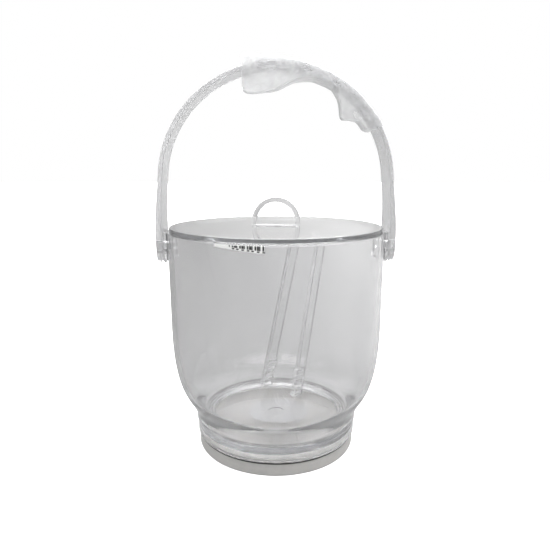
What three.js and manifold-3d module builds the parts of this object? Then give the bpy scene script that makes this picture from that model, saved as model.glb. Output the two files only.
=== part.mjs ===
// Clear plastic ice bucket: a bowl on a frosted base cap, a lid with a finger hoop,
// a strap bail on two side ears, a pair of tongs inside, and its shop wrap and label.
// Millimetres, +Z up, origin at the centre of the base's underside, front towards -Y.

import * as THREE from 'three';
import { mergeVertices } from 'three/addons/utils/BufferGeometryUtils.js';
import Module from 'manifold-3d';

const wasm = await Module();
wasm.setup();

// ---- Driving dimensions ----

const gap = 0.3;                 // between neighbouring pieces
const rimRadius = 81.2;          // outside of the bowl at its rim
const rimHeight = 168.9;
const rimEdge = 0.8;             // how far its two edges are rounded off
const wall = 3.2;
const footRadius = 62.8;
const baseHeight = 10.4;
const floorTop = 19.4;
const floorThickness = 3.5;
const neckThickening = 3.4;      // extra wall where the bowl runs into the foot
const stepRadii = [51.4, 54, 56, 57.6];  // low steps round the floor
const stepRise = 0.9;

const lidRadius = 80;
const lidThickness = 2.8;

const strapWidth = 27;           // the bail, front to back
const strapThickness = 3.2;
const armThickening = 2;         // extra thickness of the bail's arms at the pivots
const bailRadius = 85.3;         // half the outside width of the bail's arch
const bailRise = 83.4;           // from the arch's centre to the top of the bail
const archHeight = 204;          // where the arch's centre lies
const archEnd = 6.3;             // where the arch hands over to the arm, degrees above its centre
const pivotHeight = 157.4;
const bailReach = 89;            // outside of the bail at its pivots
const pinRadius = 4;
const earHalfWidth = 12;         // of the ears, front to back
const earDrop = 10.2;            // from the pivots down to the ears' underside
const boreDepth = 3.4;           // of the ears' blind holes, which the pins sit in

const hoopHalfWidth = 18.3;
const hoopThickness = 3.5;
const hoopDepth = 6;
const hoopBar = 0.8;             // height of the bar between the hoop's feet

const tongsWidth = 16;
const tongsThickness = 3.5;
const bowRadius = 12.7;          // middle of the strip round the tongs' bow
const tipOffset = 15.6;          // middle of the strip at the tips
const legLength = 128;

const roundSides = 64;           // facets round the large turned pieces
const smallSides = 24;

// ---- Derived dimensions ----

const floorUnderside = floorTop - floorThickness;
const footBottom = baseHeight + gap;
const lidBottom = rimHeight + gap;
const lidTop = lidBottom + lidThickness;
const pivotRoundness = strapWidth / 2;
const earFace = bailReach - strapThickness - armThickening - 0.4;
const straightArmTop = pivotHeight + 7.6;
const archEndAngle = THREE.MathUtils.degToRad(archEnd);
const quarterTurn = Math.PI / 2;

// ---- Materials ----

function plastic(color, roughness, opacity) {
  return new THREE.MeshStandardMaterial({
    color, roughness, opacity, metalness: 0, transparent: opacity < 1,
  });
}

const clearPlastic = plastic(0xd2d3d3, 0.06, 0.35);
const frostedPlastic = plastic(0xc6c3bd, 0.45, 0.6);
const whitePlastic = plastic(0xdededd, 0.5, 0.9);
const labelPaper = plastic(0xf2f2f2, 0.6, 1);
const filmPlastic = plastic(0xe2e3e4, 0.15, 0.3);

// ---- Solids ----

function solidOf(geometry) {
  const bare = geometry.clone();
  bare.deleteAttribute('normal');
  bare.deleteAttribute('uv');
  const merged = mergeVertices(bare, 1e-4);
  return new wasm.Manifold(new wasm.Mesh({
    numProp: 3,
    vertProperties: new Float32Array(merged.attributes.position.array),
    triVerts: new Uint32Array(merged.index.array),
  }));
}

function geometryOf(solid) {
  const mesh = solid.getMesh();
  const geometry = new THREE.BufferGeometry();
  geometry.setAttribute('position', new THREE.BufferAttribute(mesh.vertProperties, 3));
  geometry.setIndex(new THREE.BufferAttribute(mesh.triVerts, 1));
  geometry.computeVertexNormals();
  return geometry;
}

function point(x, y) {
  return new THREE.Vector2(x, y);
}

// Points on a curve, without its first one when the outline already holds it.
function curvePoints(curve, steps) {
  return curve.getPoints(steps).slice(1);
}

// Points along a curve from its end back to a share of its length, moved inwards by a
// distance that depends on that share.
function insetPoints(curve, distanceAt, share, steps) {
  const points = [];
  for (let step = 0; step <= steps; step += 1) {
    const t = 1 - (1 - share) * step / steps;
    const tangent = curve.getTangent(t);
    const inwards = point(-tangent.y, tangent.x);
    points.push(curve.getPoint(t).add(inwards.multiplyScalar(distanceAt(t))));
  }
  return points;
}

// A closed outline of [radius, height] points turned about +Z.
function turned(points, sides) {
  return new THREE.LatheGeometry(points, sides).rotateX(quarterTurn);
}

// The same outline turned about X, pointing to the right (side 1) or the left (side -1).
function turnedSideways(points, side, sides) {
  return turned(points, sides).rotateY(side * quarterTurn).translate(0, 0, pivotHeight);
}

// An outline in the XZ plane, made solid along Y and centred on it.
function prismAlongY(shape, width, curveSegments = 12) {
  const options = { depth: width, bevelEnabled: false, curveSegments };
  const geometry = new THREE.ExtrudeGeometry(shape, options);
  return geometry.translate(0, 0, -width / 2).rotateX(quarterTurn);
}

// An outline whose x runs along Y and whose y runs along Z, made solid along X.
function prismAlongX(shape, width, curveSegments = 12) {
  const options = { depth: width, bevelEnabled: false, curveSegments };
  const geometry = new THREE.ExtrudeGeometry(shape, options);
  geometry.translate(0, 0, -width / 2);
  return geometry.rotateX(quarterTurn).rotateZ(quarterTurn);
}

function part(name, geometry, material) {
  const mesh = new THREE.Mesh(geometry, material);
  mesh.name = name;
  return mesh;
}

// ---- Bucket body: floor, bowl, foot skirt and the two ears ----

// The steps round the floor, from the outside inwards.
function floorSteps() {
  const points = [];
  stepRadii.toReversed().forEach((radius, index) => {
    const height = floorTop + stepRise * (stepRadii.length - index);
    points.push(point(radius, height), point(radius, height - stepRise));
  });
  return points;
}

function bowlThickness(share) {
  return wall + neckThickening * Math.max(1 - share / 0.6, 0) ** 2;
}

function bodyOutline() {
  const innerRim = rimRadius - wall;
  const neck = footRadius + 0.8;
  const bowl = new THREE.CubicBezierCurve(
    point(neck, 21.5), point(neck + 0.6, 44.4), point(rimRadius - 0.3, 33), point(rimRadius - 0.3, 100));
  return [
    point(0, floorUnderside),
    point(footRadius - wall, floorUnderside),
    point(footRadius - wall, footBottom),
    point(footRadius - 0.4, footBottom),
    point(footRadius, footBottom + 0.4),
    point(footRadius, floorTop + 0.6),
    bowl.getPoint(0),
    ...curvePoints(bowl, 16),
    point(rimRadius, rimHeight - rimEdge),
    point(rimRadius - rimEdge, rimHeight),
    point(innerRim + rimEdge, rimHeight),
    point(innerRim, rimHeight - rimEdge),
    ...insetPoints(bowl, bowlThickness, 0.06, 14),
    ...floorSteps(),
    point(6.2, floorTop),
    point(6.2, floorTop - 0.4),
    point(0, floorTop - 0.4),
  ];
}

// An ear seen from the side: a block with a rounded bottom, grown by a margin.
function earSide(margin) {
  const half = earHalfWidth + margin;
  const corner = 4 + margin;
  const low = pivotHeight - earDrop - margin + corner;
  const top = rimHeight - rimEdge;
  const shape = new THREE.Shape();
  shape.moveTo(half, top);
  shape.lineTo(-half, top);
  shape.absarc(corner - half, low, corner, Math.PI, 1.5 * Math.PI, false);
  shape.absarc(half - corner, low, corner, 1.5 * Math.PI, 2 * Math.PI, false);
  return shape;
}

function earSlab(side, margin, from, to) {
  const slab = prismAlongX(earSide(margin), to - from, 6);
  return solidOf(slab.translate(side * (from + to) / 2, 0, 0));
}

// The ear stands on the wall with a chamfered root.
function ear(side) {
  const root = rimRadius - 2.4;
  const flange = [earSlab(side, 3, root, root + 1), earSlab(side, 0, root, root + 4.4)];
  return wasm.Manifold.hull(flange).add(earSlab(side, 0, root, earFace));
}

function boreOutline() {
  const radius = pinRadius + gap;
  const bottom = earFace - boreDepth;
  const mouth = earFace + 1;
  return [point(0, bottom), point(radius, bottom), point(radius, mouth), point(0, mouth)];
}

function bucketBody() {
  let body = solidOf(turned(bodyOutline(), roundSides));
  for (const side of [-1, 1]) {
    const bore = solidOf(turnedSideways(boreOutline(), side, smallSides));
    body = body.add(ear(side)).subtract(bore);
  }
  return part('bucket_body', geometryOf(body), clearPlastic);
}

// ---- Base cap: a shallow frosted dish that plugs into the foot ----

function baseCap() {
  const radius = footRadius - 1;
  const plug = footRadius - wall - 0.5;
  const plugTop = baseHeight + 1.4;
  const plate = 2.5;
  const outline = [
    point(0, 0),
    point(radius - 1, 0),
    point(radius, 1),
    point(radius, baseHeight),
    point(plug, baseHeight),
    point(plug, plugTop),
    point(plug - 2.5, plugTop),
    point(plug - 2.5, plate),
    point(0, plate),
  ];
  return part('base_cap', turned(outline, roundSides), frostedPlastic);
}

// ---- Floor disc: a thin white disc under the floor, a little off centre ----

function floorDisc() {
  const thickness = 0.6;
  const top = floorUnderside - gap;
  const geometry = new THREE.CylinderGeometry(24, 24, thickness, 48).rotateX(quarterTurn);
  geometry.translate(2.2, 2.3, top - thickness / 2);
  return part('floor_disc', geometry, whitePlastic);
}

// ---- Barcode label: a short strip on the wall, under the rim at the front left ----

function barcodeLabel() {
  const inside = rimRadius + 0.25;
  const outside = inside + 0.3;
  const left = THREE.MathUtils.degToRad(-90 - 30.2);
  const right = THREE.MathUtils.degToRad(-90 - 6.8);
  const shape = new THREE.Shape();
  shape.absarc(0, 0, outside, left, right, false);
  shape.absarc(0, 0, inside, right, left, true);
  const height = 4.8;
  const options = { depth: height, bevelEnabled: false, curveSegments: 12 };
  const geometry = new THREE.ExtrudeGeometry(shape, options);
  geometry.translate(0, 0, rimHeight - 0.9 - height);
  return part('barcode_label', geometry, labelPaper);
}

// ---- Lid: a flat disc with a tapered locating ring below ----

function lidDisc() {
  const edge = 0.5;
  const ringOuter = rimRadius - wall - 1.3;
  const ringDepth = 2.5;
  const outline = [
    point(0, lidBottom),
    point(ringOuter - 3, lidBottom),
    point(ringOuter - 2.6, lidBottom - ringDepth),
    point(ringOuter - 1.4, lidBottom - ringDepth),
    point(ringOuter, lidBottom),
    point(lidRadius - edge, lidBottom),
    point(lidRadius, lidBottom + edge),
    point(lidRadius, lidTop - edge),
    point(lidRadius - edge, lidTop),
    point(0, lidTop),
  ];
  return part('lid_disc', turned(outline, roundSides), clearPlastic);
}

// ---- Lid hoop: a D of flat strap standing on a thin base bar ----

// The D's outline, moved inwards from its outside and up from its underside.
function hoopOutline(inset, raise) {
  const halfWidth = hoopHalfWidth - inset;
  const bottom = lidTop + gap + raise;
  const shoulder = lidTop + 2.9;
  const shape = new THREE.Shape();
  shape.moveTo(-halfWidth, bottom);
  shape.lineTo(halfWidth, bottom);
  shape.lineTo(halfWidth, shoulder);
  shape.absarc(0, shoulder, halfWidth, 0, Math.PI, false);
  return shape;
}

function lidHoop() {
  const shape = hoopOutline(0, 0);
  shape.holes.push(hoopOutline(hoopThickness, hoopBar));
  const hoop = part('lid_hoop', prismAlongY(shape, hoopDepth, 20), clearPlastic);
  hoop.rotation.z = THREE.MathUtils.degToRad(-8);
  return hoop;
}

// ---- Bail: a wide flat strap, arched over the lid, with a round eye at each end ----

// Half of the band's edge on the right-hand side, from the lower end up to the crown. It lies
// inside the strap's outer face by one distance on the arch and by another at the pivots.
function bailEdge(inset, armInset) {
  const reach = bailReach - armInset;
  const arch = new THREE.EllipseCurve(
    0, archHeight, bailRadius - inset, bailRise - inset, archEndAngle, quarterTurn);
  const handover = arch.getPoint(0);
  const lead = 21;
  const alongArm = point(
    handover.x + lead * Math.sin(archEndAngle), handover.y - lead * Math.cos(archEndAngle));
  const flare = new THREE.CubicBezierCurve(
    point(reach, straightArmTop), point(reach, straightArmTop + 13), alongArm, handover);
  return [
    point(reach, pivotHeight - pivotRoundness - 1),
    flare.getPoint(0),
    ...curvePoints(flare, 7),
    ...curvePoints(arch, 14),
  ];
}

function bailBand(inset, thickness, width) {
  const outer = bailEdge(inset, inset);
  const inner = bailEdge(inset + thickness, inset + thickness + armThickening);
  const mirror = (points) => points.map((p) => point(-p.x, p.y));
  const around = [
    ...outer,
    ...mirror(outer).reverse().slice(1),
    ...mirror(inner),
    ...inner.slice(0, -1).reverse(),
  ];
  return prismAlongY(new THREE.Shape(around), width);
}

// The strap's outline seen from the side: straight edges and a half-round lower end.
function bailSide() {
  const half = strapWidth / 2;
  const crown = archHeight + bailRise + 1;
  const shape = new THREE.Shape();
  shape.moveTo(half, crown);
  shape.lineTo(-half, crown);
  shape.lineTo(-half, pivotHeight);
  shape.absarc(0, pivotHeight, pivotRoundness, Math.PI, 2 * Math.PI, false);
  return prismAlongX(shape, 4 * bailReach, 16);
}

function bailStrap() {
  const eye = new THREE.CylinderGeometry(pinRadius + gap, pinRadius + gap, 4 * bailReach, smallSides);
  eye.rotateZ(quarterTurn).translate(0, 0, pivotHeight);
  const band = solidOf(bailBand(0, strapThickness, strapWidth + 2));
  const strap = band.intersect(solidOf(bailSide())).subtract(solidOf(eye));
  return part('bail_strap', geometryOf(strap), clearPlastic);
}

// ---- Pivot pins: a shank through the bail into the ear, with a low domed head ----

function pivotPin(name, side) {
  const headRadius = 6.5;
  const headBase = bailReach + gap;
  const dome = new THREE.QuadraticBezierCurve(
    point(headRadius, headBase + 0.3), point(headRadius - 2, headBase + 1), point(0, headBase + 1));
  const outline = [
    point(0, earFace - boreDepth + gap),
    point(pinRadius, earFace - boreDepth + gap),
    point(pinRadius, headBase),
    point(headRadius, headBase),
    dome.getPoint(0),
    ...curvePoints(dome, 4),
  ];
  return part(name, turnedSideways(outline, side, smallSides), clearPlastic);
}

// ---- Handle film: a loose sleeve round the bail's crown, with a baggy left end and a right flap ----

const filmSkin = 0.7;
const filmClear = 0.5;

// A point at a distance outside the bail's outer face, by its angle from the crown
// (clockwise, in degrees).
function nearArch(degrees, distance) {
  const angle = THREE.MathUtils.degToRad(90 - degrees);
  return point(
    (bailRadius + distance) * Math.cos(angle),
    archHeight + (bailRise + distance) * Math.sin(angle));
}

// The sleeve's outline from the front: close over the crown, with its left end standing up.
// Each pair below is an angle from the crown and how far the film hangs under the strap.
function filmOutline(skin) {
  const above = filmClear + filmSkin - skin;
  const below = -strapThickness - above;
  const rightEnd = 62;
  const bag = [[-20.4, 9], [-18.5, 14], [-11, 16.2], [-5, 15.8], [3, 12.2], [13, 5], [22, 0]];
  const flap = [[31, 0], [38, 8], [44, 15], [47, 15.2], [53, 7], [59, 6.6], [rightEnd, 0]];
  const top = new THREE.EllipseCurve(
    0, archHeight, bailRadius + above, bailRise + above,
    THREE.MathUtils.degToRad(90 - rightEnd), quarterTurn);
  const underside = [...bag, ...flap].map(([degrees, drop]) => nearArch(degrees, below - drop));
  return new THREE.Shape([...underside, ...top.getPoints(12), nearArch(-15.5, above + 8.4)]);
}

function handleFilm() {
  const width = strapWidth + 2 * (filmClear + filmSkin);
  const outside = solidOf(prismAlongY(filmOutline(0), width));
  const inside = solidOf(prismAlongY(filmOutline(filmSkin), width - 2 * filmSkin));
  const passage = solidOf(bailBand(-filmClear, strapThickness + 2 * filmClear, width - 2 * filmSkin));
  return part('handle_film', geometryOf(outside.subtract(inside).subtract(passage)), filmPlastic);
}

// ---- Tongs: a U of flat strip, parted at the crown of its bow where it flexes ----

const gripRidges = 5;
const ridgePitch = 5.2;
const ridgeSize = 2.8;

// The strip's edge on one arm, from the crown down to the tip; offset is outwards from
// the middle of the strip.
function armEdge(offset) {
  const crownGap = gap / 2;
  const bow = new THREE.EllipseCurve(0, 0, bowRadius + offset, bowRadius + offset, quarterTurn, 0, true);
  const points = [point(crownGap, bowRadius + offset), ...curvePoints(bow, 8)];
  points.push(point(tipOffset + offset, -legLength));
  return points;
}

function ridge(index) {
  const height = -legLength + (index + 0.5) * ridgePitch;
  const lean = (bowRadius - tipOffset) / legLength;
  const x = tipOffset - tongsThickness / 2 + (height + legLength) * lean;
  return new THREE.BoxGeometry(ridgeSize, tongsWidth, ridgeSize).translate(x, 0, height);
}

function tongsArm(name, side) {
  const around = [...armEdge(tongsThickness / 2), ...armEdge(-tongsThickness / 2).reverse()];
  let arm = solidOf(prismAlongY(new THREE.Shape(around), tongsWidth));
  for (let index = 0; index < gripRidges; index += 1) {
    arm = arm.add(solidOf(ridge(index)));
  }
  const geometry = geometryOf(arm);
  if (side < 0) geometry.rotateZ(Math.PI);
  return part(name, geometry, clearPlastic);
}

// The tongs lean back against the wall, a little to the right, and are turned to the left.
function tongs() {
  const leaning = new THREE.Group();
  leaning.rotation.x = THREE.MathUtils.degToRad(-14.6);
  leaning.rotation.y = THREE.MathUtils.degToRad(3.8);
  leaning.add(tongsArm('tongs_arm_left', -1), tongsArm('tongs_arm_right', 1));
  const turnedLeft = new THREE.Group();
  turnedLeft.rotation.z = THREE.MathUtils.degToRad(-30.7);
  turnedLeft.position.set(28.7, 55, 146.5);
  turnedLeft.add(leaning);
  return turnedLeft;
}

// ---- Assembly ----

const iceBucket = new THREE.Group();
iceBucket.add(
  bucketBody(),
  baseCap(),
  floorDisc(),
  barcodeLabel(),
  pivotPin('pivot_pin_left', -1),
  pivotPin('pivot_pin_right', 1),
  lidDisc(),
  lidHoop(),
  bailStrap(),
  handleFilm(),
  tongs(),
);

export default iceBucket;
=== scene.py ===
"""Looks of a clear plastic ice bucket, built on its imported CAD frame.

The bowl, lid, bail and tongs are polished clear plastic, the base cap is frosted, and a
crinkled wrap hangs from the bail. Outlines are in millimetres and meshes in metres.
"""

import math

import bmesh
import bpy
import numpy as np
from mathutils import Matrix, Vector, noise


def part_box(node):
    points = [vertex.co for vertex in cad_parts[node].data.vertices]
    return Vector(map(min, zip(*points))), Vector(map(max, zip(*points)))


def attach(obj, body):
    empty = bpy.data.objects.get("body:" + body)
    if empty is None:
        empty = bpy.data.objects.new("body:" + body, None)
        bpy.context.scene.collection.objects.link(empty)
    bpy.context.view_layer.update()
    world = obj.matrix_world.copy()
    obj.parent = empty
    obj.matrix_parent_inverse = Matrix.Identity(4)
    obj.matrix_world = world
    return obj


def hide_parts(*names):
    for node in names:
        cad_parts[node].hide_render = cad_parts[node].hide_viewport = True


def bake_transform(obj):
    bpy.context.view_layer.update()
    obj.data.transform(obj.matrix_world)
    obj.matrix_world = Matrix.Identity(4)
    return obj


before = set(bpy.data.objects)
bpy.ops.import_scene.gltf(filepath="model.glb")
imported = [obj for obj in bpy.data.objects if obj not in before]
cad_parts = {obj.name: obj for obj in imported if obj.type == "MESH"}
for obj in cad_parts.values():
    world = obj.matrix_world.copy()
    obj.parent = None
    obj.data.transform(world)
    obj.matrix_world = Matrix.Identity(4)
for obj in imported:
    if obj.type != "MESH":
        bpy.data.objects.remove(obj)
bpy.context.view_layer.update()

MM = 0.001


def metres(*sizes):
    return tuple(size * MM for size in sizes)


def box_mm(node):
    low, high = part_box(node)
    return low * 1000, high * 1000


# ---- Dimensions, in millimetres and degrees ----

body_low, body_high = box_mm("bucket_body")
cap_low, cap_high = box_mm("base_cap")
disc_low, disc_high = box_mm("floor_disc")
label_low, label_high = box_mm("barcode_label")
lid_low, lid_high = box_mm("lid_disc")
hoop_low, hoop_high = box_mm("lid_hoop")
bail_low, bail_high = box_mm("bail_strap")
pin_low, pin_high = box_mm("pivot_pin_right")

GAP = 0.3                      # between neighbouring pieces
RIM_RADIUS = -body_low.y
RIM_TOP = body_high.z
RIM_EDGE = 0.9
WALL = 3.2
FOOT_RADIUS = cap_high.x + 1
FOOT_BOTTOM = body_low.z
FLOOR_TOP = 19.4
FLOOR_UNDERSIDE = FLOOR_TOP - 3.5
NECK_RADIUS = FOOT_RADIUS + 0.8
NECK_HEIGHT = 21.5             # where the bowl's curve leaves the foot
NECK_THICKENING = 3.4          # extra wall where the bowl runs into the foot
WIDEST_RADIUS = RIM_RADIUS - 0.3
CURVE_TOP = 100.0              # where the bowl's curve hands over to the upper wall
STEP_RADII = (51.4, 54.0, 56.0, 57.6)
STEP_RISE = 0.9
STEPS_TOP = FLOOR_TOP + STEP_RISE * len(STEP_RADII)
GATE_RADIUS = 6.2              # the shallow moulding mark in the middle of the floor
GATE_DEPTH = 0.4

CAP_RADIUS = cap_high.x
CAP_SHOULDER = FOOT_BOTTOM - GAP
CAP_THICKNESS = 2.5
CAP_RECESS = 0.5
PLUG_RADIUS = FOOT_RADIUS - WALL - 0.5

LID_RADIUS = -lid_low.y
LID_TOP = lid_high.z
LID_BOTTOM = RIM_TOP + GAP

STRAP_WIDTH = bail_high.y - bail_low.y
STRAP_THICKNESS = 3.2
STRAP_EDGE = 0.7
ARM_THICKENING = 2.0
ARM_STRAIGHT = 7.6             # how far the bail's arms run straight above the pivots
ARM_LEAD = 13.0                # how far each arm keeps its direction at the ends of its flare
ARCH_LEAD = 21.0
BAIL_REACH = bail_high.x
BAIL_RADIUS = 85.3
ARCH_HEIGHT = 204.0
BAIL_RISE = bail_high.z - ARCH_HEIGHT
ARCH_END = math.radians(6.3)
PIVOT_HEIGHT = (pin_low.z + pin_high.z) / 2
PIN_RADIUS = 4.0
EYE_RADIUS = PIN_RADIUS + GAP
EAR_HALF_WIDTH = 12.0
EAR_DROP = 10.2
EAR_CORNER = 4.0
EAR_EDGE = 0.8
EAR_FACE = body_high.x
EAR_ROOT = RIM_RADIUS - 2.4    # inside the wall, so that the two join
BORE_DEPTH = 3.4

HOOP_HALF_WIDTH = 18.3
HOOP_THICKNESS = 3.5
HOOP_DEPTH = 6.0
HOOP_BAR = 0.8
HOOP_SHOULDER = 2.9            # where the hoop's round part starts above the lid
HOOP_TURN = -8.0

FILM_GAP = 1.3                 # from the strap to the film where it lies close
FILM_SLACK = 0.9

TONGS_WIDTH = 16.0
TONGS_THICKNESS = 3.5
BOW_RADIUS = 12.7
TIP_OFFSET = 15.6
LEG_LENGTH = 128.0
RIDGES = 5
RIDGE_PITCH = 5.2
RIDGE_HEIGHT = 1.4
RIDGE_SOFTNESS = 0.35          # nearer 0, the ridges are squarer
TONGS_PLACE = (28.7, 55.0, 146.5)
TONGS_TURN = -30.7
TONGS_LEAN_BACK = -14.6
TONGS_LEAN_SIDE = 3.8

LABEL_FACE = math.hypot(label_high.x, label_low.y)
LABEL_LEFT = math.asin(label_low.x / LABEL_FACE) - math.pi / 2
LABEL_RIGHT = math.asin(label_high.x / LABEL_FACE) - math.pi / 2
PAPER_FACE = LABEL_FACE - 0.04
PAPER_BACK = LABEL_FACE - 0.3
BAR_COUNT = 14
BARS_START = 0.32              # the share of the label's length left of the bars
BAR_LIFT = 1.5                 # from the label's lower edge to the bars
DASH_LIFT = 0.3
DASH_HEIGHT = 0.8

CAMERA_DISTANCE = 388.6
CAMERA_HEIGHT = 213.8
CAMERA_TURN = -1.85
CAMERA_TILT = -11.69
CAMERA_LENS = 33.46
CAMERA_SHIFT = -0.0018

FINE_SIDES = 192
SMALL_SIDES = 64


# ---- Outlines ----

def bezier(a, b, c, d, steps):
    """Points on a cubic Bezier curve, both ends included."""
    t = np.linspace(0.0, 1.0, steps + 1)[:, None]
    a, b, c, d = (np.array(p, float) for p in (a, b, c, d))
    curve = (1 - t) ** 3 * a + 3 * (1 - t) ** 2 * t * b + 3 * (1 - t) * t ** 2 * c + t ** 3 * d
    return [tuple(p) for p in curve]


def rounded(corners, steps=4):
    """An outline whose corners (x, y, radius) are rounded; a radius of 0 leaves a corner sharp."""
    points = []
    count = len(corners)
    for index, (x, y, radius) in enumerate(corners):
        if radius == 0:
            points.append((x, y))
            continue
        corner = Vector((x, y))
        before = Vector(corners[index - 1][:2]) - corner
        after = Vector(corners[(index + 1) % count][:2]) - corner
        start = corner + before.normalized() * min(radius, 0.45 * before.length)
        end = corner + after.normalized() * min(radius, 0.45 * after.length)
        for k in range(steps + 1):
            t = k / steps
            point = start * (1 - t) ** 2 + corner * 2 * (1 - t) * t + end * t ** 2
            points.append((point.x, point.y))
    return points


def sharp(points):
    """Points given corners of radius 0, so that they can be mixed with rounded ones."""
    return [(x, y, 0) for x, y in points]


def moved_left(points, distances):
    """The points of a curve moved to its left, each by its own distance."""
    line = np.array(points)
    along = np.gradient(line, axis=0)
    along /= np.linalg.norm(along, axis=1)[:, None]
    left = np.column_stack((-along[:, 1], along[:, 0]))
    return [tuple(p) for p in line + np.reshape(distances, (-1, 1)) * left]


def strap_section(half_width, half_thickness, edge, steps=3):
    """A flat strap's section, (across, through), with rounded edges."""
    edge = min(edge, 0.9 * half_width, 0.9 * half_thickness)
    corners = []
    for across, through in ((1, 1), (-1, 1), (-1, -1), (1, -1)):
        corners.append((across * half_width, through * half_thickness, edge))
    return rounded(corners, steps)


def section_ring(middle, through, section):
    """A section stood across a line in the XZ plane, with its second axis along a direction."""
    ring = []
    for across, along in section:
        spot = middle + through * along
        ring.append((spot.x, across, spot.y))
    return ring


# ---- Meshes ----

def mesh_from(name, points, faces):
    """A mesh in metres from points in millimetres, with its faces turned outwards."""
    mesh = bpy.data.meshes.new(name)
    mesh.from_pydata([Vector(p) * MM for p in points], [], faces)
    work = bmesh.new()
    work.from_mesh(mesh)
    bmesh.ops.recalc_face_normals(work, faces=work.faces)
    work.to_mesh(mesh)
    work.free()
    return mesh


def skin(name, rings, closed=False, caps=True):
    """A surface through a row of rings with the same number of points."""
    count = len(rings[0])
    points = [p for ring in rings for p in ring]
    faces = []
    last = len(rings) if closed else len(rings) - 1
    for j in range(last):
        here = j * count
        there = ((j + 1) % len(rings)) * count
        for k in range(count):
            following = (k + 1) % count
            faces.append((here + k, here + following, there + following, there + k))
    if caps and not closed:
        faces.append(tuple(range(count)))
        faces.append(tuple(range(last * count, (last + 1) * count)))
    return mesh_from(name, points, faces)


def lathe(name, outline, sides=FINE_SIDES):
    """A closed outline of (radius, height) turned about +Z. A radius of 0 makes a pole."""
    points, rings, faces = [], [], []
    for radius, height in outline:
        if radius < 1e-6:
            rings.append([len(points)] * sides)
            points.append((0.0, 0.0, height))
            continue
        rings.append([len(points) + k for k in range(sides)])
        for k in range(sides):
            angle = 2 * math.pi * k / sides
            points.append((radius * math.cos(angle), radius * math.sin(angle), height))
    for ring, following in zip(rings, rings[1:] + rings[:1]):
        for k in range(sides):
            n = (k + 1) % sides
            corners = list(dict.fromkeys((ring[k], ring[n], following[n], following[k])))
            if len(corners) > 2:
                faces.append(corners)
    return mesh_from(name, points, faces)


def turned_sideways(mesh, side):
    """A turned mesh laid along X at the pivots, pointing to the right (1) or the left (-1)."""
    turn = Matrix.Rotation(side * math.pi / 2, 4, "Y")
    mesh.transform(Matrix.Translation((0, 0, PIVOT_HEIGHT * MM)) @ turn)
    return mesh


def add_object(name, mesh):
    obj = bpy.data.objects.new(name, mesh)
    bpy.context.collection.objects.link(obj)
    return obj


def apply_modifiers(obj):
    """Replaces an object's mesh with the result of its modifiers."""
    bpy.context.view_layer.update()
    result = obj.evaluated_get(bpy.context.evaluated_depsgraph_get())
    mesh = bpy.data.meshes.new_from_object(result)
    obj.modifiers.clear()
    obj.data = mesh


def combine(obj, tool_mesh, operation):
    """Adds or cuts a closed mesh, and applies the result."""
    tool = add_object("tool", tool_mesh)
    modifier = obj.modifiers.new("combine", "BOOLEAN")
    modifier.object = tool
    modifier.operation = operation
    modifier.solver = "EXACT"
    apply_modifiers(obj)
    bpy.data.objects.remove(tool)


def smooth(obj, angle=35):
    """Smooth shading that keeps flat faces flat, and edges sharper than the angle in degrees."""
    obj.data.shade_smooth()
    obj.data.set_sharp_from_angle(angle=math.radians(angle))
    obj.modifiers.new("even_normals", "WEIGHTED_NORMAL").keep_sharp = True
    apply_modifiers(obj)


def finish_piece(obj, material, body, nodes):
    """Gives a piece its material, its CAD body and the nodes it stands for."""
    obj.data.materials.clear()
    obj.data.materials.append(material)
    if body:
        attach(obj, body)
    if nodes:
        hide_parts(*nodes)
    return obj


# ---- Node graphs ----

def grey(level):
    return (level, level, level)


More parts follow.
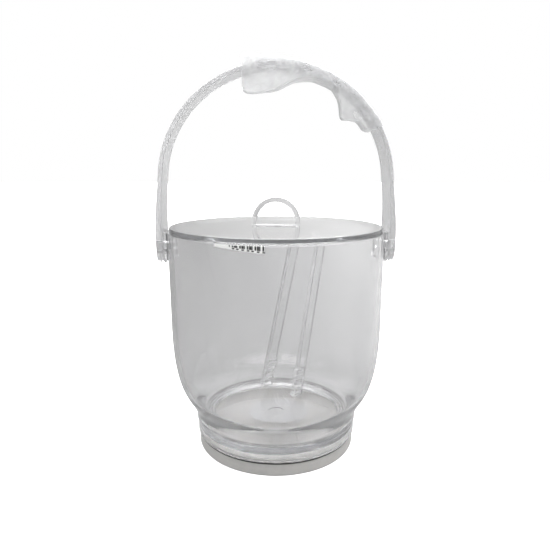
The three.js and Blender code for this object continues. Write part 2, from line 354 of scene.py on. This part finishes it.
class Graph:
    """The node tree of a material or a world, with short calls for the nodes used here."""

    def __init__(self, owner, shader, coordinates):
        self.owner = owner
        owner.use_nodes = True
        self.tree = owner.node_tree
        self.shader = self.tree.nodes[shader]
        self.place = self.add("ShaderNodeTexCoord", coordinates, {})

    def feed(self, socket, value):
        """Links a socket to an output, or gives it a plain value."""
        if isinstance(value, bpy.types.NodeSocket):
            self.tree.links.new(value, socket)
        elif socket.type == "RGBA":
            socket.default_value = (*value, 1)
        else:
            socket.default_value = value

    def add(self, kind, output, inputs, **settings):
        """Adds a node with its settings and inputs, and returns one of its outputs."""
        node = self.tree.nodes.new(kind)
        for name, value in settings.items():
            setattr(node, name, value)
        for name, value in inputs.items():
            self.feed(node.inputs[name], value)
        return node.outputs[output]

    def set(self, **values):
        """Sets or links the shader's own inputs. An underscore stands for a space."""
        for name, value in values.items():
            self.feed(self.shader.inputs[name.replace("_", " ")], value)

    def stretched(self, scale):
        """The coordinates stretched by a vector."""
        return self.add("ShaderNodeMapping", "Vector", {"Vector": self.place, "Scale": scale})

    def noise(self, scale, detail=3.0, roughness=0.5, distortion=0.0, place=None):
        return self.add("ShaderNodeTexNoise", "Fac", {
            "Vector": place or self.place,
            "Scale": scale,
            "Detail": detail,
            "Roughness": roughness,
            "Distortion": distortion,
        })

    def remap(self, value, span, levels, ease="LINEAR"):
        """Two levels for the two ends of a value's span, held beyond them."""
        return self.add("ShaderNodeMapRange", "Result", {
            "Value": value,
            "From Min": span[0],
            "From Max": span[1],
            "To Min": levels[0],
            "To Max": levels[1],
        }, interpolation_type=ease)

    def math(self, operation, a, b=0.0):
        return self.add("ShaderNodeMath", "Value", {0: a, 1: b}, operation=operation)

    def mix(self, factor, a, b):
        """A colour between two colours, which are a Mix node's inputs 6 and 7 and its output 2."""
        return self.add("ShaderNodeMix", 2, {"Factor": factor, 6: a, 7: b}, data_type="RGBA")

    def shade(self, value, span, a, b):
        """A colour that goes from a to b while a value crosses a span."""
        return self.mix(self.remap(value, span, (0, 1)), a, b)

    def axes(self):
        """The x, y and z of the coordinates."""
        node = self.tree.nodes.new("ShaderNodeSeparateXYZ")
        self.feed(node.inputs["Vector"], self.place)
        return node.outputs

    def turned_place(self):
        """The distance from the vertical axis, and the height."""
        x, y, z = self.axes()
        squares = self.math("ADD", self.math("MULTIPLY", x, x), self.math("MULTIPLY", y, y))
        return self.math("SQRT", squares), z

    def facing(self, blend):
        return self.add("ShaderNodeLayerWeight", "Facing", {"Blend": blend})

    def seen_directly(self):
        """1 for what is seen directly, and 0 for what is seen in reflections or through plastic."""
        return self.add("ShaderNodeLightPath", "Is Camera Ray", {})

    def absorb(self, color, density):
        """Makes the inside soak up light, so that long ways through it look grey."""
        volume = self.add("ShaderNodeVolumeAbsorption", "Volume", {"Color": color, "Density": density})
        surface = self.shader.outputs["BSDF"].links[0].to_node
        self.feed(surface.inputs["Volume"], volume)

    def bump(self, height, strength, distance):
        inputs = {"Height": height, "Strength": strength, "Distance": distance}
        self.set(Normal=self.add("ShaderNodeBump", "Normal", inputs))


def material_graph(name):
    return Graph(bpy.data.materials.new(name), "Principled BSDF", "Object")


# ---- Clear plastics ----

def smudged(g, clean, dull, flow):
    """A colour with faint cloudy smudges that follow the moulding's flow."""
    smudges = g.noise(22, detail=4, roughness=0.6, distortion=0.6, place=flow)
    return g.shade(smudges, (0.42, 0.7), clean, dull)


def painted_shade_rings(g, color, radii, top, strength):
    """A colour with thin painted-shade rings: dark lines painted where a turned piece has its edges, up
    to a height.
    """
    radius, height = g.turned_place()
    reach = g.remap(height, metres(top, top + 0.5), (strength, 0.0))
    for ring in radii:
        distance = g.math("ABSOLUTE", g.math("SUBTRACT", radius, ring * MM))
        line = g.remap(distance, metres(0.1, 0.6), (1.0, 0.0))
        color = g.mix(g.math("MULTIPLY", reach, line), color, grey(0.01))
    return color


def clear_plastic(g, color, haze, flow, ripple=0.12, scuffs=0.045, density=9.0):
    """Polished clear moulding: grey in its depth, a little scuffed and faintly rippled."""
    g.set(IOR=1.5, Transmission_Weight=haze, Base_Color=color)
    g.set(Roughness=g.remap(g.noise(70, detail=4), (0.4, 0.75), (0.1 * scuffs, scuffs)))
    g.bump(g.noise(14, detail=2, place=flow), 0.5, ripple * MM)
    g.absorb((0.44, 0.455, 0.48), density)
    return g.owner


def body_plastic():
    """The bowl and pins, with painted shade: thin dark rings painted at the edges of the steps round
    the floor.
    """
    g = material_graph("clear_body")
    flow = g.stretched((1, 1, 0.45))
    color = smudged(g, (0.99, 0.99, 0.992), (0.94, 0.94, 0.945), flow)
    # Painted shade: dark rings at the step edges stand in for the dark lines the plastic shows there.
    color = painted_shade_rings(g, color, STEP_RADII, STEPS_TOP + 1, 0.6)
    return clear_plastic(g, color, 0.96, flow)


def lid_plastic():
    """The lid and its hoop, with painted shade: a thin dark ring painted at the lid's rim."""
    g = material_graph("clear_lid")
    color = smudged(g, (0.99, 0.99, 0.992), (0.96, 0.96, 0.965), g.place)
    # Painted shade: a dark ring at the rim stands in for the thin dark outline of the lid's edge.
    color = painted_shade_rings(g, color, [LID_RADIUS - 0.3], LID_TOP + 1, 0.7)
    return clear_plastic(g, color, 0.97, g.place)


def bail_plastic():
    """The bail: hazier and more handled than the rest."""
    g = material_graph("clear_bail")
    flow = g.stretched((1, 0.3, 1))
    color = smudged(g, (0.98, 0.98, 0.985), (0.93, 0.93, 0.94), flow)
    return clear_plastic(g, color, 0.78, flow, ripple=0.04, scuffs=0.16, density=5.0)


def tongs_plastic():
    g = material_graph("clear_tongs")
    flow = g.stretched((1, 1, 0.4))
    color = smudged(g, (0.99, 0.99, 0.992), grey(0.94), flow)
    return clear_plastic(g, color, 0.97, flow)


# ---- Other materials ----

def frosted_plastic():
    """The base cap: milky, mottled and finely pitted, with painted shade: its outer side darkened to
    half, and a painted black shadow line where the foot meets it.
    """
    g = material_graph("frosted_base")
    mottle = g.noise(120, detail=5, roughness=0.65, distortion=0.4)
    color = g.shade(mottle, (0.35, 0.65), (0.90, 0.885, 0.86), (0.98, 0.965, 0.94))
    radius, height = g.turned_place()
    # Painted shade: the outer side is darkened to half, and the shoulder under the foot gets a black
    # painted shadow line.
    outside = g.remap(radius, metres(CAP_RADIUS - 1.8, CAP_RADIUS - 1.4), (0.0, 0.5))
    beyond_plug = g.remap(radius, metres(PLUG_RADIUS + 0.1, PLUG_RADIUS + 0.5), (0, 1))
    near_joint = g.remap(height, metres(CAP_SHOULDER - 1.5, CAP_SHOULDER - 1), (0, 1))
    color = g.mix(outside, color, grey(0.01))
    color = g.mix(g.math("MULTIPLY", beyond_plug, near_joint), color, grey(0.01))
    g.set(IOR=1.5, Transmission_Weight=0.04, Base_Color=color)
    g.set(Roughness=g.remap(g.noise(300), (0.3, 0.7), (0.28, 0.5)))
    g.bump(g.noise(420, detail=4, roughness=0.7), 0.5, 0.2 * MM)
    return g.owner


def white_plastic():
    """The disc under the floor: smooth white with a faint wash and fine grain."""
    g = material_graph("white_disc")
    g.set(Transmission_Weight=0.1, Base_Color=g.mix(g.noise(60), grey(0.90), grey(0.96)))
    g.set(Roughness=g.remap(g.noise(220), (0.3, 0.7), (0.4, 0.55)))
    g.bump(g.noise(500), 0.25, 0.1 * MM)
    return g.owner


def label_paper():
    g = material_graph("label_paper")
    g.set(Base_Color=g.mix(g.noise(900, detail=4), (0.84, 0.84, 0.83), (0.93, 0.93, 0.92)))
    g.set(Roughness=g.remap(g.noise(260), (0.3, 0.7), (0.45, 0.6)))
    g.bump(g.noise(1400), 0.3, 0.04 * MM)
    return g.owner


def label_ink():
    g = material_graph("label_ink")
    g.set(Base_Color=g.mix(g.noise(1600), (0.008, 0.008, 0.009), (0.035, 0.035, 0.037)))
    g.set(Roughness=g.remap(g.noise(700), (0.3, 0.7), (0.35, 0.6)))
    return g.owner


def wrap_film():
    """Thin film: nearly clear face on, milky at a slant, with a faint cloudiness."""
    g = material_graph("wrap_film")
    cloud = g.noise(90, distortion=0.8)
    color = g.shade(cloud, (0.35, 0.65), (0.80, 0.805, 0.815), (0.95, 0.955, 0.96))
    slant = g.remap(g.facing(0.5), (0, 1), (0.24, 0.95))
    milky = g.remap(g.noise(60, detail=2), (0.35, 0.7), (0.0, 0.12))
    g.set(IOR=1.5, Specular_IOR_Level=0.8, Base_Color=color, Alpha=g.math("ADD", slant, milky))
    g.set(Roughness=g.remap(g.noise(150), (0.3, 0.7), (0.07, 0.2)))
    g.bump(g.noise(160, detail=2, distortion=0.5), 0.25, 0.4 * MM)
    return g.owner


# ---- Bucket body: bowl, foot, floor and ears ----

def floor_steps():
    """The low steps round the bowl's floor, from the outside inwards, with rounded edges."""
    draft = 0.12
    corners = []
    height = STEPS_TOP
    for radius in reversed(STEP_RADII):
        corners.append((radius, height, 0.35))
        height -= STEP_RISE
        corners.append((radius - draft, height + draft, 0.25))
    return corners


HIDDEN_POINTS = 5              # of the inside curve, which would run below the floor's top step


def bowl_outside():
    """The bowl's curve from the foot up, and the nearly straight wall above it."""
    foot_end = (NECK_RADIUS, NECK_HEIGHT)
    foot_handle = (NECK_RADIUS + 0.6, 44.4)
    wall_handle = (WIDEST_RADIUS, 33)
    wall_end = (WIDEST_RADIUS, CURVE_TOP)
    curve = bezier(foot_end, foot_handle, wall_handle, wall_end, 64)
    upper = [(WIDEST_RADIUS + 0.05 * k, CURVE_TOP + 11 * k) for k in range(1, 6)]
    return curve, upper


def wall_thickness(share):
    """The wall's thickness at a share of the bowl's curve. It thickens towards the foot."""
    return WALL + NECK_THICKENING * np.clip(1 - share / 0.6, 0, 1) ** 2


def body_outline():
    curve, upper = bowl_outside()
    thickness = wall_thickness(np.linspace(0, 1, len(curve)))
    curve_inside = moved_left(curve, thickness)[HIDDEN_POINTS:]
    upper_inside = moved_left(upper, [WALL] * len(upper))
    return rounded([
        (0, FLOOR_UNDERSIDE, 0),
        (FOOT_RADIUS - WALL, FLOOR_UNDERSIDE, 0.5),
        (FOOT_RADIUS - WALL, FOOT_BOTTOM, 0.3),
        (FOOT_RADIUS, FOOT_BOTTOM, 0.5),
        (FOOT_RADIUS, FLOOR_TOP + 0.6, 0.8),
        *sharp(curve),
        *sharp(upper),
        (RIM_RADIUS, RIM_TOP, RIM_EDGE),
        (RIM_RADIUS - WALL, RIM_TOP, RIM_EDGE),
        *sharp(reversed(upper_inside)),
        *sharp(reversed(curve_inside)),
        *floor_steps(),
        (GATE_RADIUS, FLOOR_TOP, 0.2),
        (GATE_RADIUS, FLOOR_TOP - GATE_DEPTH, 0.2),
        (0, FLOOR_TOP - GATE_DEPTH, 0),
    ])


def ear_loop(margin):
    """An ear seen from the side, (y, z): a block with a rounded bottom, grown by a margin."""
    half = EAR_HALF_WIDTH + margin
    bottom = PIVOT_HEIGHT - EAR_DROP - margin
    top = RIM_TOP - RIM_EDGE + min(margin, 0)
    corner = EAR_CORNER + margin
    return rounded([
        (half, top, 0.3),
        (-half, top, 0.3),
        (-half, bottom, corner),
        (half, bottom, corner),
    ], 8)


def ear(side):
    """A closed ear that leaves the wall with a fillet and has a rounded face."""
    fillet_start = EAR_ROOT + 1
    fillet = EAR_FACE - EAR_EDGE - fillet_start
    sections = [(EAR_ROOT, fillet)]
    for turn in np.radians(np.linspace(0, 90, 9)):
        reach = fillet_start + fillet * (1 - math.cos(turn))
        sections.append((reach, fillet * (1 - math.sin(turn))))
    for turn in np.radians(np.linspace(0, 90, 5)):
        reach = EAR_FACE - EAR_EDGE * (1 - math.sin(turn))
        sections.append((reach, -EAR_EDGE * (1 - math.cos(turn))))
    rings = []
    for reach, margin in sections:
        rings.append([(side * reach, y, z) for y, z in ear_loop(margin)])
    return skin("ear", rings)


def rod(name, radius, start, end):
    """A straight round rod about +Z, as a tool for cutting holes."""
    return lathe(name, [(0, start), (radius, start), (radius, end), (0, end)], SMALL_SIDES)


def build_body(material):
    body = add_object("clear_bowl", lathe("clear_bowl", body_outline()))
    for side in (-1, 1):
        combine(body, ear(side), "UNION")
        bore = rod("bore", EYE_RADIUS, EAR_FACE - BORE_DEPTH, EAR_FACE + 1)
        combine(body, turned_sideways(bore, side), "DIFFERENCE")
    smooth(body, 30)
    return finish_piece(body, material, "bucket", ["bucket_body"])


# ---- Foot pieces ----

def build_base_cap(material):
    """A dish with a raised ring on its underside and a plug that fits inside the foot."""
    outline = rounded([
        (0, CAP_RECESS, 0),
        (CAP_RADIUS - 4, CAP_RECESS, 0.4),
        (CAP_RADIUS - 4.6, 0, 0.4),
        (CAP_RADIUS, 0, 1.2),
        (CAP_RADIUS, CAP_SHOULDER, 0.5),
        (PLUG_RADIUS, CAP_SHOULDER, 0.3),
        (PLUG_RADIUS, cap_high.z, 0.4),
        (PLUG_RADIUS - CAP_THICKNESS, cap_high.z, 0.4),
        (PLUG_RADIUS - CAP_THICKNESS, CAP_THICKNESS, 0.8),
        (0, CAP_THICKNESS, 0),
    ])
    cap = add_object("frosted_cap", lathe("frosted_cap", outline))
    smooth(cap, 40)
    return finish_piece(cap, material, "bucket", ["base_cap"])


def build_floor_disc(material):
    centre = (disc_low + disc_high) / 2
    radius = (disc_high.x - disc_low.x) / 2
    outline = rounded([
        (0, disc_low.z, 0),
        (radius, disc_low.z, 0.2),
        (radius, disc_high.z, 0.2),
        (0, disc_high.z, 0),
    ])
    mesh = lathe("white_disc", outline, FINE_SIDES // 2)
    mesh.transform(Matrix.Translation((centre.x * MM, centre.y * MM, 0)))
    disc = add_object("white_disc", mesh)
    smooth(disc, 40)
    return finish_piece(disc, material, "bucket", ["floor_disc"])


# ---- Label: a paper strip with plain bars ----

def wall_patch(name, inside, outside, left, right, top, bottoms):
    """A thin closed strip on the bowl's wall. Its lower edge runs between two heights."""
    rings = []
    for share in np.linspace(0, 1, 25):
        angle = left + share * (right - left)
        low = bottoms[0] + share * (bottoms[1] - bottoms[0])
        corners = ((inside, low), (outside, low), (outside, top), (inside, top))
        rings.append([(r * math.cos(angle), r * math.sin(angle), z) for r, z in corners])
    return skin(name, rings)


def label_edge(angle):
    """The height of the label's lower edge. The label is 0.3 of its full height at its left end."""
    share = (angle - LABEL_LEFT) / (LABEL_RIGHT - LABEL_LEFT)
    return label_high.z - (label_high.z - label_low.z) * (0.3 + 0.7 * share)


def label_print():
    """Plain bars in a repeating set of gaps and widths, with a dash under every other one."""
    start = LABEL_LEFT + BARS_START * (LABEL_RIGHT - LABEL_LEFT)
    pitch = (LABEL_RIGHT - start) / BAR_COUNT
    ink = (PAPER_FACE, LABEL_FACE)
    patches = []
    for k in range(BAR_COUNT):
        begin = start + (k + 0.12 * ((k * 5) % 3)) * pitch
        end = begin + (0.5 + 0.16 * ((k * 7) % 3)) * pitch
        left_edge, right_edge = label_edge(begin), label_edge(end)
        feet = (left_edge + BAR_LIFT, right_edge + BAR_LIFT)
        patches.append(wall_patch("bar", *ink, begin, end, label_high.z - 0.1, feet))
        if k % 2:
            feet = (left_edge + DASH_LIFT, right_edge + DASH_LIFT)
            top = left_edge + DASH_LIFT + DASH_HEIGHT
            patches.append(wall_patch("dash", *ink, begin, begin + pitch, top, feet))
    return patches


def build_label(paper, ink):
    bottoms = (label_edge(LABEL_LEFT), label_edge(LABEL_RIGHT))
    strip = wall_patch(
        "label_strip", PAPER_BACK, PAPER_FACE, LABEL_LEFT, LABEL_RIGHT, label_high.z, bottoms)
    finish_piece(add_object("label_strip", strip), paper, "bucket", ["barcode_label"])
    work = bmesh.new()
    for patch in label_print():
        work.from_mesh(patch)
    mesh = bpy.data.meshes.new("label_bars")
    work.to_mesh(mesh)
    work.free()
    finish_piece(add_object("label_bars", mesh), ink, "bucket", [])


# ---- Pivot pins ----

def build_pins(material):
    """Two pins with low domed heads, standing in the ears' blind bores."""
    head = (pin_high.z - pin_low.z) / 2
    head_base = BAIL_REACH + GAP
    pin_end = EAR_FACE - BORE_DEPTH + GAP
    outline = rounded([
        (0, pin_end, 0),
        (PIN_RADIUS, pin_end, 0.5),
        (PIN_RADIUS, head_base, 0),
        (head, head_base, 0.1),
        (head, head_base + 0.35, 0.3),
        (head - 2, pin_high.x, 1.6),
        (0, pin_high.x, 0),
    ])
    for side, node in ((-1, "pivot_pin_left"), (1, "pivot_pin_right")):
        mesh = turned_sideways(lathe(node, outline, SMALL_SIDES), side)
        pin = add_object(node.replace("pivot", "clear"), mesh)
        smooth(pin, 40)
        finish_piece(pin, material, "bucket", [node])


# ---- Lid and its hoop ----

def build_lid(material):
    """A flat disc with a thin tapered locating ring below it."""
    ring = RIM_RADIUS - WALL - 1.3
    ring_bottom = lid_low.z
    outline = rounded([
        (0, LID_BOTTOM, 0),
        (ring - 3, LID_BOTTOM, 0.4),
        (ring - 2.6, ring_bottom, 0.3),
        (ring - 1.4, ring_bottom, 0.3),
        (ring, LID_BOTTOM, 0.4),
        (LID_RADIUS, LID_BOTTOM, 0.6),
        (LID_RADIUS, LID_TOP, 0.6),
        (0, LID_TOP, 0),
    ])
    lid = add_object("clear_lid", lathe("clear_lid", outline))
    smooth(lid, 35)
    return finish_piece(lid, material, "lid", ["lid_disc"])


def build_hoop(material):
    """A D of flat strap on a thin base bar, swept once round."""
    bottom = hoop_low.z
    shoulder = Vector((0, LID_TOP + HOOP_SHOULDER))
    inside = HOOP_HALF_WIDTH - HOOP_THICKNESS
    pairs = []
    for angle in np.linspace(0, math.pi, 49):
        outward = Vector((math.cos(angle), math.sin(angle)))
        pairs.append((shoulder + outward * HOOP_HALF_WIDTH, shoulder + outward * inside))
    for x in (-1, 1):
        pairs.append((Vector((x * HOOP_HALF_WIDTH, bottom)), Vector((x * inside, bottom + HOOP_BAR))))
    section = strap_section(HOOP_DEPTH / 2, 1.0, 0.35)
    rings = [section_ring((outer + inner) / 2, (outer - inner) / 2, section) for outer, inner in pairs]
    mesh = skin("clear_hoop", rings, closed=True)
    mesh.transform(Matrix.Rotation(math.radians(HOOP_TURN), 4, "Z"))
    hoop = add_object("clear_hoop", mesh)
    smooth(hoop, 35)
    return finish_piece(hoop, material, "lid", ["lid_hoop"])


# ---- Bail ----

def bail_edge(crown_inset, arm_inset):
    """One edge of the band on the right, from above its round end to the crown."""
    reach = BAIL_REACH - arm_inset
    across, rise = BAIL_RADIUS - crown_inset, BAIL_RISE - crown_inset
    arm_top = PIVOT_HEIGHT + ARM_STRAIGHT
    handover = (across * math.cos(ARCH_END), ARCH_HEIGHT + rise * math.sin(ARCH_END))
    below = (handover[0] + ARCH_LEAD * math.sin(ARCH_END), handover[1] - ARCH_LEAD * math.cos(ARCH_END))
    flare = bezier((reach, arm_top), (reach, arm_top + ARM_LEAD), below, handover, 24)
    arch = []
    for angle in np.linspace(ARCH_END, math.pi / 2, 181)[1:]:
        arch.append((across * math.cos(angle), ARCH_HEIGHT + rise * math.sin(angle)))
    return flare + arch


def bail_stations():
    """(outer point, inner point, half width) from the right end over the crown to the left end."""
    half = STRAP_WIDTH / 2
    arm_thickness = STRAP_THICKNESS + ARM_THICKENING
    stations = []
    for angle in np.radians(np.linspace(7, 90, 22)):
        height = PIVOT_HEIGHT - half * math.cos(angle)
        outer = (BAIL_REACH, height)
        inner = (BAIL_REACH - arm_thickness, height)
        stations.append((outer, inner, half * math.sin(angle)))
    for outer, inner in zip(bail_edge(0, 0), bail_edge(STRAP_THICKNESS, arm_thickness)):
        stations.append((outer, inner, half))
    mirrored = [((-o[0], o[1]), (-i[0], i[1]), w) for o, i, w in reversed(stations[:-1])]
    return stations + mirrored


def build_bail(material):
    rings = []
    for outer, inner, half in bail_stations():
        middle = (Vector(outer) + Vector(inner)) / 2
        through = Vector(outer) - Vector(inner)
        section = strap_section(half, through.length / 2, STRAP_EDGE, 5)
        rings.append(section_ring(middle, through.normalized(), section))
    bail = add_object("clear_bail", skin("clear_bail", rings))
    eyes = rod("eyes", EYE_RADIUS, -2 * BAIL_REACH, 2 * BAIL_REACH)
    combine(bail, turned_sideways(eyes, 1), "DIFFERENCE")
    smooth(bail, 35)
    return finish_piece(bail, material, "bail", ["bail_strap"])


# ---- Wrap: a loose crinkled sleeve of film round the bail's crown ----

# Along the sleeve, left to right: the share of its length, the angle of its crest and how far
# that stands above the strap, and the angle of its hem and how far that hangs below.
FILM_STATIONS = (
    (0.00, -15.3, 6.4, -20.4, 9.5),
    (0.03, -14.2, 6.1, -18.8, 13.2),
    (0.08, -11.0, 4.9, -15.0, 15.2),
    (0.15, -6.5, 3.3, -9.5, 16.0),
    (0.22, -1.5, 2.0, -3.0, 14.8),
    (0.30, 4.0, 1.4, 4.0, 11.2),
    (0.38, 11.0, 0.7, 11.0, 6.0),
    (0.47, 20.0, 0.2, 20.0, 1.4),
    (0.60, 31.0, 0.0, 31.0, 0.6),
    (0.68, 37.0, 0.0, 37.0, 6.5),
    (0.75, 42.5, 0.0, 43.6, 14.2),
    (0.78, 45.0, 0.0, 46.4, 14.9),
    (0.84, 50.0, 0.0, 50.4, 9.8),
    (0.88, 53.5, 0.0, 53.5, 6.6),
    (0.95, 58.5, 0.0, 58.8, 6.2),
    (0.98, 60.6, 0.0, 60.8, 3.8),
    (1.00, 61.8, 0.0, 61.8, 0.3),
)


def near_arch(degrees, distance):
    """A point at a distance outside the bail's arch, by its angle clockwise from the crown."""
    angle = math.radians(90 - degrees)
    return Vector((
        (BAIL_RADIUS + distance) * math.cos(angle),
        ARCH_HEIGHT + (BAIL_RISE + distance) * math.sin(angle)))


def film_profile(share):
    """The sleeve's crest and hem in the XZ plane, and its crest's lift, at a share of its length."""
    shares, *columns = zip(*FILM_STATIONS)
    crest, lift, hem, drop = (float(np.interp(share, shares, column)) for column in columns)
    top = near_arch(crest, FILM_GAP + lift)
    under = near_arch(hem, -(STRAP_THICKNESS + 1 + drop))
    return top, under, lift


def film_outline(depth, lift):
    """Half widths of the sleeve at shares of its depth: pinched above and below the strap."""
    strap = STRAP_THICKNESS + 2
    drop = max(depth - lift - strap, 0)
    half = STRAP_WIDTH / 2 + FILM_SLACK
    crest = half * (1 - 0.2 * min(lift / 8, 1))
    hem = half * (1 - 0.75 * min(drop / 16, 1))
    above = lift / depth
    below = min((lift + strap) / depth, 1)
    return [(crest, 0), (half, above), (half, below), ((half + hem) / 2, (1 + below) / 2), (hem, 1)]


def film_loop(share, around):
    """Evenly spaced points round the sleeve at one station."""
    top, under, lift = film_profile(share)
    depth = (top - under).length
    side = film_outline(depth, lift)
    outline = side + [(-x, y) for x, y in reversed(side)] + side[:1]
    spans = [math.hypot(b[0] - a[0], (b[1] - a[1]) * depth) for a, b in zip(outline, outline[1:])]
    reached = np.concatenate([[0.0], np.cumsum(spans)])
    spots = np.linspace(0, reached[-1], around, endpoint=False)
    across = np.interp(spots, reached, [x for x, _ in outline])
    down = np.interp(spots, reached, [y for _, y in outline])
    loop = []
    for a, d in zip(across, down):
        spot = top.lerp(under, float(d))
        loop.append((spot.x, float(a), spot.y))
    return loop


def crinkle(mesh):
    """Soft folds in the film where it hangs free, and small bubbles where it lies on the strap."""
    fold_seed = Vector((3, 1, 2))
    fold_scale, crease_scale, bubble_scale, fine_scale = 0.055, 0.035, 0.42, 0.9
    normals = [v.normal.copy() for v in mesh.vertices]
    for vertex, normal in zip(mesh.vertices, normals):
        place = vertex.co * 1000
        on_arch = Vector((place.x / BAIL_RADIUS, (place.z - ARCH_HEIGHT) / BAIL_RISE))
        outside = (on_arch.length - 1) * BAIL_RADIUS
        free = min(abs(outside + STRAP_THICKNESS / 2) / 8, 1)
        folds = noise.noise(place * fold_scale + fold_seed)
        creases = noise.ridged_multi_fractal(place * crease_scale, 1.0, 2.0, 2, 0.8, 2.0) - 0.9
        bubbles = noise.noise(place * bubble_scale) + 0.5 * noise.noise(place * fine_scale)
        amount = free * (1.6 * folds + 0.6 * creases) + (1 - free) * 0.35 * bubbles
        vertex.co += normal * max(min(amount, 1.4), -1.2) * MM


def soften(mesh, rounds):
    work = bmesh.new()
    work.from_mesh(mesh)
    for _ in range(rounds):
        bmesh.ops.smooth_vert(
            work, verts=work.verts, factor=0.5, use_axis_x=True, use_axis_y=True, use_axis_z=True)
    work.to_mesh(mesh)
    work.free()


def build_film(material):
    stations, around = 220, 120
    rings = [film_loop(j / stations, around) for j in range(stations + 1)]
    mesh = skin("crinkled_film", rings, caps=False)
    soften(mesh, 10)
    crinkle(mesh)
    film = add_object("crinkled_film", mesh)
    film.data.shade_smooth()
    finish_piece(film, material, "bail", ["handle_film"])
    return film


# ---- Tongs ----

def tongs_centreline():
    """(point, outward direction, distance from the tip) from the right tip round to the left."""
    tip = Vector((TIP_OFFSET, -LEG_LENGTH))
    lean = Vector((BOW_RADIUS - TIP_OFFSET, LEG_LENGTH)).normalized()
    outward = Vector((lean.y, -lean.x))
    leg_span = math.hypot(BOW_RADIUS - TIP_OFFSET, LEG_LENGTH)
    ridged = RIDGES * RIDGE_PITCH + 1
    distances = [*np.arange(0, ridged, 0.2), *np.linspace(ridged, leg_span, 26)]
    line = [(tip + lean * d, outward, d) for d in distances]
    for angle in np.linspace(0, math.pi / 2, 25)[1:]:
        direction = Vector((math.cos(angle), math.sin(angle)))
        line.append((direction * BOW_RADIUS, direction, leg_span))
    mirrored = [(Vector((-p.x, p.y)), Vector((-o.x, o.y)), d) for p, o, d in reversed(line[:-1])]
    return line + mirrored


def grip(distance):
    """How far the inner face stands proud at a distance from the tip, in rounded ridges."""
    if distance > RIDGES * RIDGE_PITCH:
        return 0.0
    wave = math.cos(2 * math.pi * (distance / RIDGE_PITCH - 0.5))
    return RIDGE_HEIGHT * max(wave, 0.0) ** RIDGE_SOFTNESS


def tongs_place():
    """Where the tongs stand: leaning back and sideways, turned, and moved into the bowl."""
    lean_back = Matrix.Rotation(math.radians(TONGS_LEAN_BACK), 4, "X")
    lean_side = Matrix.Rotation(math.radians(TONGS_LEAN_SIDE), 4, "Y")
    turn = Matrix.Rotation(math.radians(TONGS_TURN), 4, "Z")
    return Matrix.Translation(Vector(TONGS_PLACE) * MM) @ turn @ (lean_back @ lean_side)


def build_tongs(material):
    """One springy strip with ridged tips. It curves round between its two halves at the crown."""
    rings = []
    for point, outward, distance in tongs_centreline():
        proud = grip(distance)
        taper = min(0.6 + distance * 0.5, 1.0)
        half_width = TONGS_WIDTH / 2 * min(taper + 0.2, 1)
        section = strap_section(half_width, (TONGS_THICKNESS + proud) / 2 * taper, 0.7)
        rings.append(section_ring(point - outward * (proud / 2), outward, section))
    place = tongs_place()
    mesh = skin("clear_tongs", rings)
    mesh.transform(place)
    tongs = add_object("clear_tongs", mesh)
    smooth(tongs, 45)
    finish_piece(tongs, material, None, ["tongs_arm_left", "tongs_arm_right"])
    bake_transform(tongs)
    return tongs


# ---- Studio ----

def build_floor():
    """A white floor. Rays that reach it through the plastic see it as grey, with painted light: darker
    to the left, lighter to the right, and a painted pool of light near the foot.
    """
    half = 8.0
    corners = [(-half, -half, 0), (half, -half, 0), (half, half, 0), (-half, half, 0)]
    mesh = bpy.data.meshes.new("studio_floor")
    mesh.from_pydata(corners, [], [(0, 1, 2, 3)])
    g = material_graph("studio_floor")
    distance, _ = g.turned_place()
    # Painted light: a left-to-right grading and a pool of light round the foot, seen only through the
    # plastic.
    color = g.shade(g.axes()[0], (-0.25, 0.3), grey(0.135), grey(0.255))
    color = g.mix(g.remap(distance, (0.07, 0.13), (0.45, 0.0)), color, grey(0.55))
    seen = g.seen_directly()
    color = g.mix(seen, color, grey(0.95))
    g.set(Base_Color=color, Roughness=0.9, Specular_IOR_Level=0.0)
    g.set(Emission_Color=grey(1), Emission_Strength=g.math("MULTIPLY", seen, 0.3))
    mesh.materials.append(g.owner)
    add_object("studio_floor", mesh)


def build_world():
    """A pale studio: bright above, greyer to the left, dim behind the camera, white when seen."""
    world = bpy.data.worlds.new("studio")
    bpy.context.scene.world = world
    g = Graph(world, "Background", "Generated")
    x, y, z = g.axes()
    sideways = g.remap(x, (-0.5, 0.5), (0.44, 0.92), "SMOOTHSTEP")
    depth = g.remap(y, (-0.8, 0.1), (0.4, 1.0), "SMOOTHSTEP")
    above = g.remap(z, (0.55, 0.95), (0.0, 6.3), "SMOOTHSTEP")
    level = g.math("ADD", g.math("MULTIPLY", sideways, depth), above)
    g.set(Color=grey(1), Strength=g.math("MAXIMUM", level, g.seen_directly()))


def build_camera():
    turn = math.radians(CAMERA_TURN)
    data = bpy.data.cameras.new("camera")
    data.sensor_width = 36
    data.lens = CAMERA_LENS
    data.shift_x = CAMERA_SHIFT
    camera = add_object("camera", data)
    camera.location = metres(
        CAMERA_DISTANCE * math.sin(turn), -CAMERA_DISTANCE * math.cos(turn), CAMERA_HEIGHT)
    camera.rotation_euler = (math.radians(90 + CAMERA_TILT), 0, turn)
    bpy.context.scene.camera = camera


def set_light_paths():
    """Plain colours, and enough bounces for light to get through every layer of plastic."""
    scene = bpy.context.scene
    scene.view_settings.view_transform = "Standard"
    scene.cycles.diffuse_bounces = 8
    for kind in ("max_bounces", "glossy_bounces", "transmission_bounces", "transparent_max_bounces"):
        setattr(scene.cycles, kind, 40)


# ---- Assembly ----

clear_body = body_plastic()
clear_lid = lid_plastic()
build_body(clear_body)
build_base_cap(frosted_plastic())
build_floor_disc(white_plastic())
build_label(label_paper(), label_ink())
build_pins(clear_body)
build_lid(clear_lid)
build_hoop(clear_lid)
build_bail(bail_plastic())
build_film(wrap_film())
build_tongs(tongs_plastic())

build_floor()
build_world()
build_camera()
set_light_paths()
